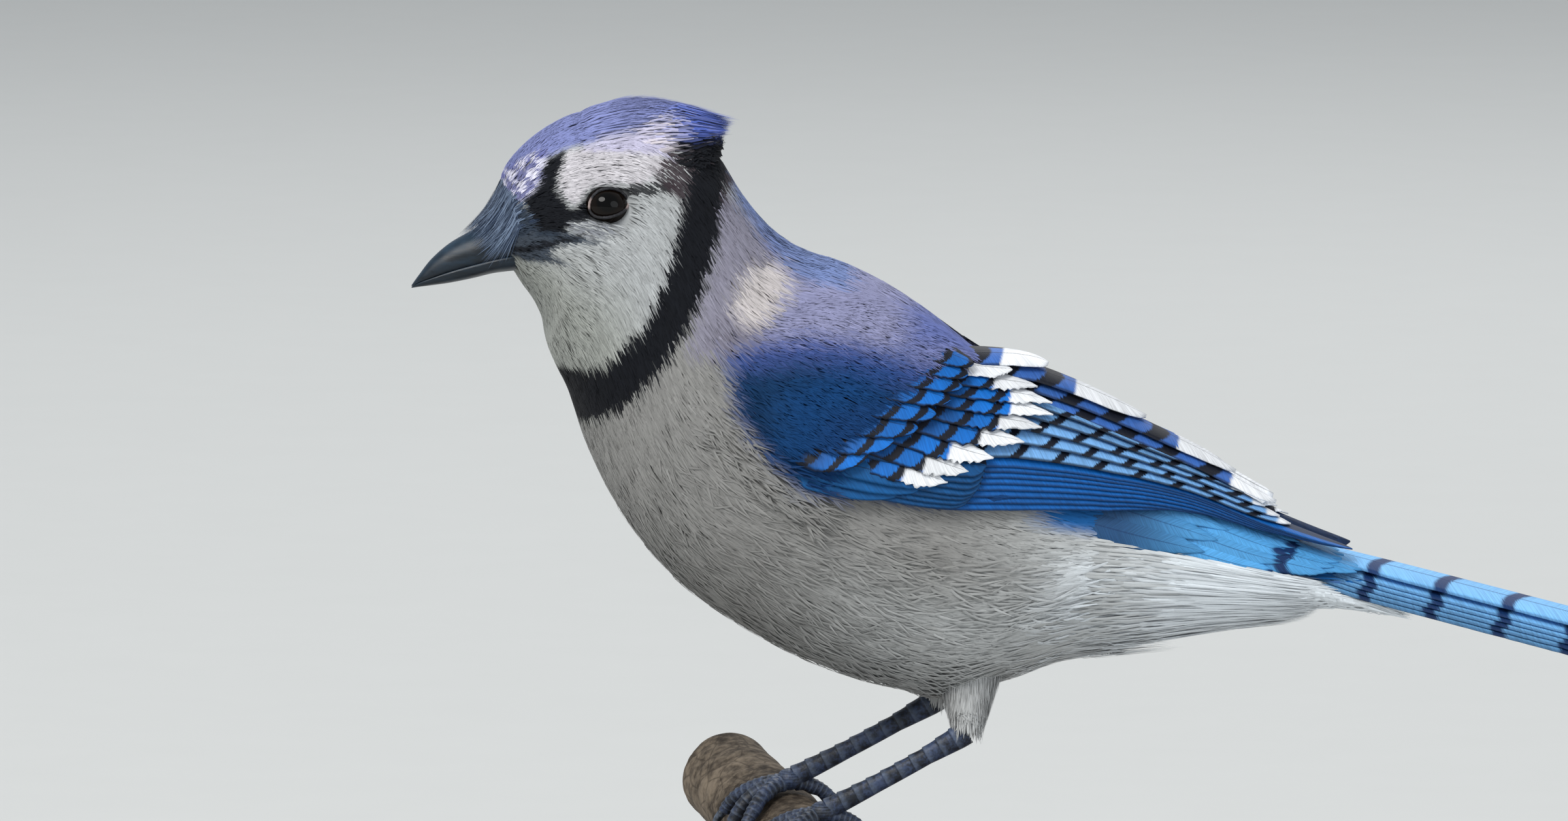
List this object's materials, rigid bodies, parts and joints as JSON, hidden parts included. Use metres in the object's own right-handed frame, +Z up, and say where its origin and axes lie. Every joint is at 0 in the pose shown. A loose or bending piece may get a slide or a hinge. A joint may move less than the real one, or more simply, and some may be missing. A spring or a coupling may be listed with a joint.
{
  "type": "blue jay model on a display stand",
  "caption": "Life-size blue jay with a swept crest and long barred tail, gripping a cut branch that a rod holds over a flat base.",
  "frame": {"origin": "centre of the underside of the stand's base plate, at the level of the surface it stands on", "axes": "+Z up, -X the way the bird faces, -Y its left side, which the picture shows"},
  "size_m": [0.2737, 0.1184, 0.2021],
  "materials": {
    "bill_horn": "satin black horn",
    "eye_gloss": "wet gloss, very dark brown",
    "head_plumage": "soft plumage, lavender blue and white with black lines",
    "neck_plumage": "soft plumage, pale with a black collar",
    "body_plumage": "soft plumage, grey lavender above and grey white below",
    "wing_plumage": "flight feathers, bright blue barred black and tipped white",
    "tail_plumage": "tail feathers, sky blue barred black and tipped white",
    "leg_scales": "dark grey scaled skin",
    "claw_horn": "satin black horn",
    "perch_bark": "rough grey-brown bark with cut ends",
    "stand_metal": "brushed",
    "stand_wood": "dark oiled wood, satin"
  },
  "bodies": {
    "root": {"bill_upper": "bill_horn", "bill_lower": "bill_horn", "eye_left": "eye_gloss", "eye_right": "eye_gloss", "head": "head_plumage", "neck": "neck_plumage", "torso": "body_plumage", "wing_left": "wing_plumage", "wing_right": "wing_plumage", "tail": "tail_plumage", "perch": "perch_bark", "stand_rod": "stand_metal", "stand_base": "stand_wood", "thigh_left": "body_plumage", "shank_left": "leg_scales", "foot_left": "leg_scales", "claw_left_inner": "claw_horn", "claw_left_middle": "claw_horn", "claw_left_outer": "claw_horn", "claw_left_hind": "claw_horn", "thigh_right": "body_plumage", "shank_right": "leg_scales", "foot_right": "leg_scales", "claw_right_inner": "claw_horn", "claw_right_middle": "claw_horn", "claw_right_outer": "claw_horn", "claw_right_hind": "claw_horn"}
  },
  "joints": []
}
